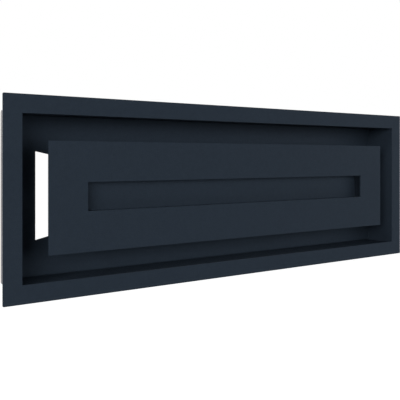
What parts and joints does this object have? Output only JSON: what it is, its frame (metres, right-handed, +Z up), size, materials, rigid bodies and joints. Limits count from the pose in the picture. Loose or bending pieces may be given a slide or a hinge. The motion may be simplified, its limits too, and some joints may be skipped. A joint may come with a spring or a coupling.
{
  "type": "fireplace vent grille",
  "caption": "Rectangular steel vent grille with a flat flange, a recessed box, a floating slotted face panel with an air gap all round, and a galvanised mounting frame behind.",
  "frame": {"origin": "centre of the flange's back face, in the plane of the wall", "axes": "+X along the grille to the right as seen from the room, +Y into the wall, +Z up; the grille faces -Y"},
  "size_m": [0.49, 0.0431, 0.17],
  "materials": {
    "graphite_paint": "fine matt graphite powder coat",
    "galvanised_sheet": "plain galvanised sheet, dull grey",
    "spring_steel": "satin rolled spring strip",
    "zinc_fastener": "bright zinc plate"
  },
  "bodies": {
    "root": {"front_flange": "graphite_paint", "box_shell": "graphite_paint", "back_plate": "graphite_paint", "face_panel": "graphite_paint", "slot_channel": "graphite_paint", "standoff_lower_left": "graphite_paint", "standoff_lower_right": "graphite_paint", "standoff_upper_left": "graphite_paint", "standoff_upper_right": "graphite_paint", "washer_lower_left": "zinc_fastener", "washer_lower_right": "zinc_fastener", "washer_upper_left": "zinc_fastener", "washer_upper_right": "zinc_fastener", "screw_lower_left": "zinc_fastener", "screw_lower_right": "zinc_fastener", "screw_upper_left": "zinc_fastener", "screw_upper_right": "zinc_fastener", "mounting_frame": "galvanised_sheet", "spring_lower_left": "spring_steel", "spring_lower_right": "spring_steel", "spring_upper_left": "spring_steel", "spring_upper_right": "spring_steel"}
  },
  "joints": []
}
